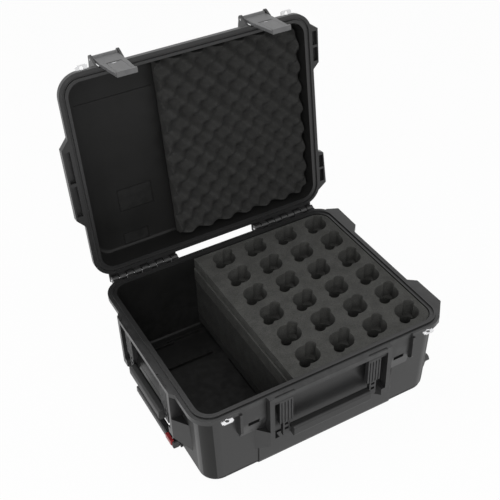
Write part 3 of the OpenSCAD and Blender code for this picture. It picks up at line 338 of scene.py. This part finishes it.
edgedPieces = [
    ("base_shell", "baseShell", shellPlastic, "shell"),
    ("lid_shell", "lidShell", shellPlastic, "shell"),
    ("latch_left", "latchLeft", latchPlastic, "latch"),
    ("latch_right", "latchRight", latchPlastic, "latch"),
    ("trigger_left", "triggerLeft", latchPlastic, "latch"),
    ("trigger_right", "triggerRight", latchPlastic, "latch"),
    ("front_handle_frame", "frontHandleFrame", handlePlastic, "handle"),
    ("side_handle_frame", "sideHandleFrame", handlePlastic, "handle"),
    ("front_handle_grip", "frontHandleGrip", gripRubber, "handle"),
    ("side_handle_grip", "sideHandleGrip", gripRubber, "handle"),
    ("pull_grip", "pullGrip", handlePlastic, "handle"),
    ("release_button", "releaseButton", redPlastic, "handle"),
    ("pressure_vent", "pressureVent", handlePlastic, "handle"),
    ("base_hasp_left", "baseHaspLeft", hasp, "steel"),
    ("base_hasp_right", "baseHaspRight", hasp, "steel"),
    ("lid_hasp_left", "lidHaspLeft", hasp, "steel"),
    ("lid_hasp_right", "lidHaspRight", hasp, "steel"),
    ("wheel_liner_front", "wheelLinerFront", handlePlastic, "wheel"),
    ("wheel_liner_rear", "wheelLinerRear", handlePlastic, "wheel"),
    ("hub_front", "hubFront", handlePlastic, "wheel"),
    ("hub_rear", "hubRear", handlePlastic, "wheel"),
]
dressed = {}
for node, name, material, kind in edgedPieces:
    dressed[node] = edgedCopy(node, name, material, edgeLooks[kind])


lidHinge = next(j for j in frame["joints"] if j["name"] == "lid_hinge")
hingePlace = Vector(lidHinge["pos_m"])
openAngle = math.radians(max(lidHinge["range_deg"]))
openTurn = Matrix.Rotation(-openAngle, 4, "X")
shutToOpen = Matrix.Translation(hingePlace) @ openTurn @ Matrix.Translation(-hingePlace)
# the hollow of each shell and the side handle's pocket, where shade is painted, in the shut case: low corner, high
# corner
paintedShadeBoxes = {
    "base_shell": [
        ((-0.2865, -0.2275, 0.012), (0.2865, 0.2275, 0.2215)),
        ((-0.3000, -0.1100, 0.085), (-0.2840, 0.1100, 0.2105)),
    ],
    "lid_shell": [((-0.2865, -0.2275, 0.2228), (0.2865, 0.2275, 0.2765))],
}


def paintShadeInside(piece, node, toShut):
    # painted shade: the faces in the hollows get a darker, smoother copy of the shell plastic, for the dim inside
    # of the shells and the side handle's pocket
    piece.data.materials.append(insidePlastic)
    for face in piece.data.polygons:
        place = toShut @ face.center
        face.material_index = int(any(
            all(a < c < b for a, c, b in zip(low, place, high)) for low, high in paintedShadeBoxes[node]
        ))


# the shells' hollows and the side handle's pocket are painted darker, as shade
paintShadeInside(dressed["base_shell"], "base_shell", Matrix.Identity(4))
paintShadeInside(dressed["lid_shell"], "lid_shell", shutToOpen.inverted())

finishes = {
    "axle_front": plainSteel, "axle_rear": plainSteel, "liner_screws": plainSteel,
    "front_handle_pins": plainSteel, "side_handle_pins": plainSteel,
    "hinge_pin_left": plainSteel, "hinge_pin_right": plainSteel,
    "latch_pin_left": plainSteel, "latch_pin_right": plainSteel,
    "trigger_pin_left": plainSteel, "trigger_pin_right": plainSteel,
    "trigger_spring_left": plainSteel, "trigger_spring_right": plainSteel,
    "button_spring": plainSteel, "bearings_front": plainSteel, "bearings_rear": plainSteel,
    "guide_tube_front": tubeMetal, "guide_tube_rear": tubeMetal,
    "pull_tube_front": tubeMetal, "pull_tube_rear": tubeMetal,
    "vent_seal": sealRubber, "lid_seal": sealRubber,
    "tyre_front": tyreRubber, "tyre_rear": tyreRubber,
}
for node, material in finishes.items():
    nodes[node].data.materials.clear()
    nodes[node].data.materials.append(material)
print("hard pieces dressed")


# the foam's strips are glued along the middle line of each row of sockets
micFoamLooks = {
    "rows": 6,
    "firstRow": -0.18125,
    "rowPitch": 0.0745,
    "glueGap": 0.0002,
    "edge": 0.0013,
}

cornerFlap = {
    "place": (0.26703, 0.22064, 0.1867),
    "turn": 60.7,
    "size": (0.0008, 0.0120, 0.0144),
}


def closeCorner(piece):
    # a thin flap behind the last notch, which breaks through the sheet's rounded corner
    graph = bpy.context.evaluated_depsgraph_get()
    whole = bpy.data.meshes.new_from_object(piece.evaluated_get(graph))
    piece.modifiers.clear()
    piece.data = whole
    place = Matrix.Translation(cornerFlap["place"])
    turn = Matrix.Rotation(math.radians(cornerFlap["turn"]), 4, "Z")
    flap = place @ turn @ Matrix.Diagonal((*cornerFlap["size"], 1))
    work = bmesh.new()
    work.from_mesh(whole)
    bmesh.ops.create_cube(work, size=1.0, matrix=flap)
    work.to_mesh(whole)
    work.free()


def foamCopy(members, name, material):
    # the strips of one sheet closed up into one piece, with soft edges
    piece = plainCopy(name, *members)
    glue = micFoamLooks["glueGap"]
    work = bmesh.new()
    work.from_mesh(piece.data)
    for row in range(micFoamLooks["rows"]):
        line = micFoamLooks["firstRow"] + row * micFoamLooks["rowPitch"]
        for point in work.verts:
            if abs(point.co.y - line) < glue:
                point.co.y = line
        walls = [f for f in work.faces if all(abs(v.co.y - line) < 1e-6 for v in f.verts)]
        bmesh.ops.delete(work, geom=walls, context="FACES")
    bmesh.ops.remove_doubles(work, verts=work.verts, dist=glue)
    work.to_mesh(piece.data)
    work.free()
    roundEdges(piece, micFoamLooks["edge"])
    if name == "micFoamLayer":
        closeCorner(piece)
    return dress(piece, material, *members)


foamPieces = [
    ("micFoamTop", ("mic_foam_top", "mic_foam_top_rear", "mic_foam_top_edge"), micFoam),
    ("micFoamLayer", ("mic_foam_layer", "mic_foam_layer_edge"), micFoam),
    # the bars and base deep in the sockets take the darker foam, as painted shade
    ("micFoamBars", ("mic_foam_bars",), paintedShadeDeepFoam),
    # the end face takes the darker foam, as painted shade
    ("micFoamEnd", ("mic_foam_end",), paintedShadeSideFoam),
    ("micFoamBase", ("mic_foam_base",), paintedShadeDeepFoam),
]
for name, members, material in foamPieces:
    foamCopy(members, name, material)
print("microphone foam made")


def wobbleField(co, size, seed):
    # a slow, smooth field between -1 and 1: a sum of seeded waves
    rng = np.random.default_rng(seed)
    total = np.zeros(len(co))
    for _ in range(9):
        direction = rng.normal(size=3)
        direction *= 2 * math.pi / (size * rng.uniform(0.7, 2.2) * np.linalg.norm(direction))
        total += np.sin(co @ direction + rng.uniform(0, 2 * math.pi))
    return total / 9 ** 0.5 / 1.6


crateLooks = {
    "pitch": 0.052,
    "wave": 0.026,
    "columns": 150,
    "rows": 170,
    "cornerRadius": 0.033,
    "backBevel": 0.009,
    "sideRings": 6,
    "bevelRings": 3,
    "ragged": 0.0006,
    "raggedSize": 0.02,
    "seed": 41,
}


def crateSheet():
    # a sheet over (u, v): height = wave/2 * (1 - cos(2 pi x/pitch) cos(2 pi y/pitch)), its right
    # corners drawn in along an arc, then three more rings: the side, the bevel and the back
    looks = crateLooks
    node = nodes["lid_foam"]
    count = len(node.data.vertices)
    co = np.empty(count * 3)
    node.data.vertices.foreach_get("co", co)
    back = np.array(shutToOpen.inverted())
    shut = co.reshape(-1, 3) @ back[:3, :3].T + back[:3, 3]
    low, high = shut.min(axis=0), shut.max(axis=0)
    columns = looks["columns"] // 1
    rows = looks["rows"] // 1
    u = np.linspace(0, 1, columns + 1)
    v = np.linspace(0, 1, rows + 1)[:, None]
    x = low[0] + (high[0] - low[0]) * u + np.zeros_like(v)
    r = looks["cornerRadius"]
    reach = np.clip(x - high[0] + r, 0, r)
    inset = r - np.sqrt(r * r - reach ** 2)
    y = low[1] + inset + (high[1] - low[1] - 2 * inset) * v
    turn = 2 * math.pi / looks["pitch"]
    bump = looks["wave"] / 2 * (1 - np.cos(turn * (x - low[0])) * np.cos(turn * (y - low[1])))
    face = np.stack([x, y, low[2] + bump], axis=-1)
    rim = np.concatenate([
        face[0, :-1], face[:-1, -1], face[-1, :0:-1], face[:0:-1, 0]
    ])
    middle = (low + high) / 2
    bevel = looks["backBevel"]
    shrink = 1 - 2 * bevel / (high - low)
    side = rim.copy()
    side[:, 2] = high[2] - bevel
    edge = middle + (rim - middle) * shrink
    edge[:, 2] = high[2]
    return face, rim, side, edge, middle, high[2], rows, columns


def makeCrateFoam():
    face, rim, side, edge, middle, top, rows, columns = crateSheet()
    points = [face.reshape(-1, 3)]
    index = np.arange((rows + 1) * (columns + 1)).reshape(rows + 1, columns + 1)
    quads = np.stack([index[:-1, :-1], index[:-1, 1:], index[1:, 1:], index[1:, :-1]], -1)
    quads = quads.reshape(-1, 4).tolist()
    ring = np.concatenate([index[0, :-1], index[:-1, -1], index[-1, :0:-1], index[:0:-1, 0]])
    start = index.size
    around = len(ring)
    down = crateLooks["sideRings"]
    inward = crateLooks["bevelRings"]
    for k in range(1, down + 1):
        points.append(rim + (side - rim) * k / down)
    for k in range(1, inward + 1):
        points.append(side + (edge - side) * k / inward)
    below = ring
    for k in range(down + inward):
        here = start + k * around + np.arange(around)
        quads += np.stack([
            np.roll(below, -1), below, here, np.roll(here, -1)
        ], -1).tolist()
        below = here
    centre = start + (down + inward) * around
    points.append(np.array([[middle[0], middle[1], top]]))
    fan = np.stack([np.roll(below, -1), below, np.full(around, centre)], -1).tolist()
    co = np.concatenate(points)
    for axis in range(3):
        field = wobbleField(co, crateLooks["raggedSize"], crateLooks["seed"] + axis)
        co[:, axis] += crateLooks["ragged"] * field
    spin = np.array(shutToOpen)
    co = co @ spin[:3, :3].T + spin[:3, 3]
    mesh = bpy.data.meshes.new("crateFoam")
    mesh.from_pydata(co.tolist(), [], quads + fan)
    mesh.update()
    mesh.polygons.foreach_set("use_smooth", np.ones(len(mesh.polygons), bool))
    piece = bpy.data.objects.new("crateFoam", mesh)
    bpy.context.scene.collection.objects.link(piece)
    return dress(piece, crateFoam, "lid_foam")


makeCrateFoam()
print("lid foam made")


stageLooks = {
    "floorSize": 14.0,
    "floorTone": (0.93, 0.93, 0.93),
    "floorRoughness": 0.9,
    "floorGloss": 0.1,
    "floorWhite": 0.96,
    "floorMirrored": 0.78,
    "worldTone": (1.0, 1.0, 1.0),
    "worldLight": 0.25,
    "lamps": [
        # place, power in watts, size
        ((-1.1, -3.0, 2.5), 62.0, 2.2),
        ((2.4, -1.6, 2.9), 9.0, 2.0),
        ((-0.6, 1.0, 3.2), 30.0, 2.2),
        ((-3.0, -1.9, 0.35), 35.0, 1.0),
    ],
    "aim": (0.0, 0.0, 0.25),
}


def makeFloor():
    half = stageLooks["floorSize"] / 2
    mesh = bpy.data.meshes.new("floor")
    mesh.from_pydata(
        [(-half, -half, 0), (half, -half, 0), (half, half, 0), (-half, half, 0)], [], [(0, 1, 2, 3)]
    )
    floor = bpy.data.objects.new("floor", mesh)
    bpy.context.scene.collection.objects.link(floor)
    mat, tree, shader = newMaterial("paleFloor")
    shader.inputs["Base Color"].default_value = (*stageLooks["floorTone"], 1)
    shader.inputs["Roughness"].default_value = stageLooks["floorRoughness"]
    shader.inputs["Specular IOR Level"].default_value = stageLooks["floorGloss"]
    white = addNode(tree, "ShaderNodeEmission", {"Color": (1, 1, 1, 1), "Strength": 1.0})
    rays = addNode(tree, "ShaderNodeLightPath")
    most = addNode(tree, "ShaderNodeMath", {1: stageLooks["floorWhite"]}, operation="MULTIPLY")
    mirrored = addNode(
        tree, "ShaderNodeMath", {1: stageLooks["floorMirrored"]}, operation="MULTIPLY"
    )
    seen = addNode(tree, "ShaderNodeMath", operation="MAXIMUM")
    tree.links.new(rays.outputs["Is Camera Ray"], seen.inputs[0])
    tree.links.new(rays.outputs["Is Glossy Ray"], mirrored.inputs[0])
    tree.links.new(mirrored.outputs[0], seen.inputs[1])
    tree.links.new(seen.outputs[0], most.inputs[0])
    mix = addNode(tree, "ShaderNodeMixShader")
    tree.links.new(most.outputs[0], mix.inputs[0])
    tree.links.new(shader.outputs[0], mix.inputs[1])
    tree.links.new(white.outputs[0], mix.inputs[2])
    output = next(n for n in tree.nodes if n.type == "OUTPUT_MATERIAL")
    tree.links.new(mix.outputs[0], output.inputs["Surface"])
    mesh.materials.append(mat)


def makeWorld():
    world = bpy.data.worlds.new("studio")
    bpy.context.scene.world = world
    world.use_nodes = True
    tree = world.node_tree
    tree.nodes.clear()
    rays = addNode(tree, "ShaderNodeLightPath")
    tone = (*stageLooks["worldTone"], 1)
    light = addNode(tree, "ShaderNodeBackground", {
        "Color": tone, "Strength": stageLooks["worldLight"]
    })
    back = addNode(tree, "ShaderNodeBackground", {"Color": tone, "Strength": 1.0})
    mix = addNode(tree, "ShaderNodeMixShader")
    output = addNode(tree, "ShaderNodeOutputWorld")
    seen = addNode(tree, "ShaderNodeMath", operation="MAXIMUM")
    tree.links.new(rays.outputs["Is Camera Ray"], seen.inputs[0])
    tree.links.new(rays.outputs["Is Glossy Ray"], seen.inputs[1])
    tree.links.new(seen.outputs[0], mix.inputs[0])
    tree.links.new(light.outputs[0], mix.inputs[1])
    tree.links.new(back.outputs[0], mix.inputs[2])
    tree.links.new(mix.outputs[0], output.inputs["Surface"])


def makeLamps():
    for k, (place, power, size) in enumerate(stageLooks["lamps"]):
        data = bpy.data.lights.new(f"softbox{k}", "AREA")
        data.energy = power
        data.shape = "SQUARE"
        data.size = size
        lamp = bpy.data.objects.new(data.name, data)
        lamp.location = place
        look = Vector(stageLooks["aim"]) - Vector(place)
        lamp.rotation_euler = look.to_track_quat("-Z", "Y").to_euler()
        bpy.context.scene.collection.objects.link(lamp)


cameraLooks = {
    "place": (-0.7533, -1.3228, 1.5887),
    "aim": (0.0520, 0.1837, 0.2220),
    "lens": 65.73,
    "roll": -2.023,
    "sensor": 36.0,
    "near": 0.05,
}


def makeCamera():
    data = bpy.data.cameras.new("camera")
    data.lens = cameraLooks["lens"]
    data.sensor_width = cameraLooks["sensor"]
    data.clip_start = cameraLooks["near"]
    camera = bpy.data.objects.new("camera", data)
    bpy.context.scene.collection.objects.link(camera)
    back = (Vector(cameraLooks["place"]) - Vector(cameraLooks["aim"])).normalized()
    right = Vector((0, 0, 1)).cross(back).normalized()
    up = back.cross(right)
    roll = math.radians(cameraLooks["roll"])
    side = right * math.cos(roll) + up * math.sin(roll)
    top = up * math.cos(roll) - right * math.sin(roll)
    pose = Matrix((side, top, back)).transposed().to_4x4()
    pose.translation = cameraLooks["place"]
    camera.matrix_world = pose
    bpy.context.scene.camera = camera


makeFloor()
makeWorld()
makeLamps()
makeCamera()
bpy.context.scene.view_settings.view_transform = "Standard"
print("stage set")

bpy.context.view_layer.update()
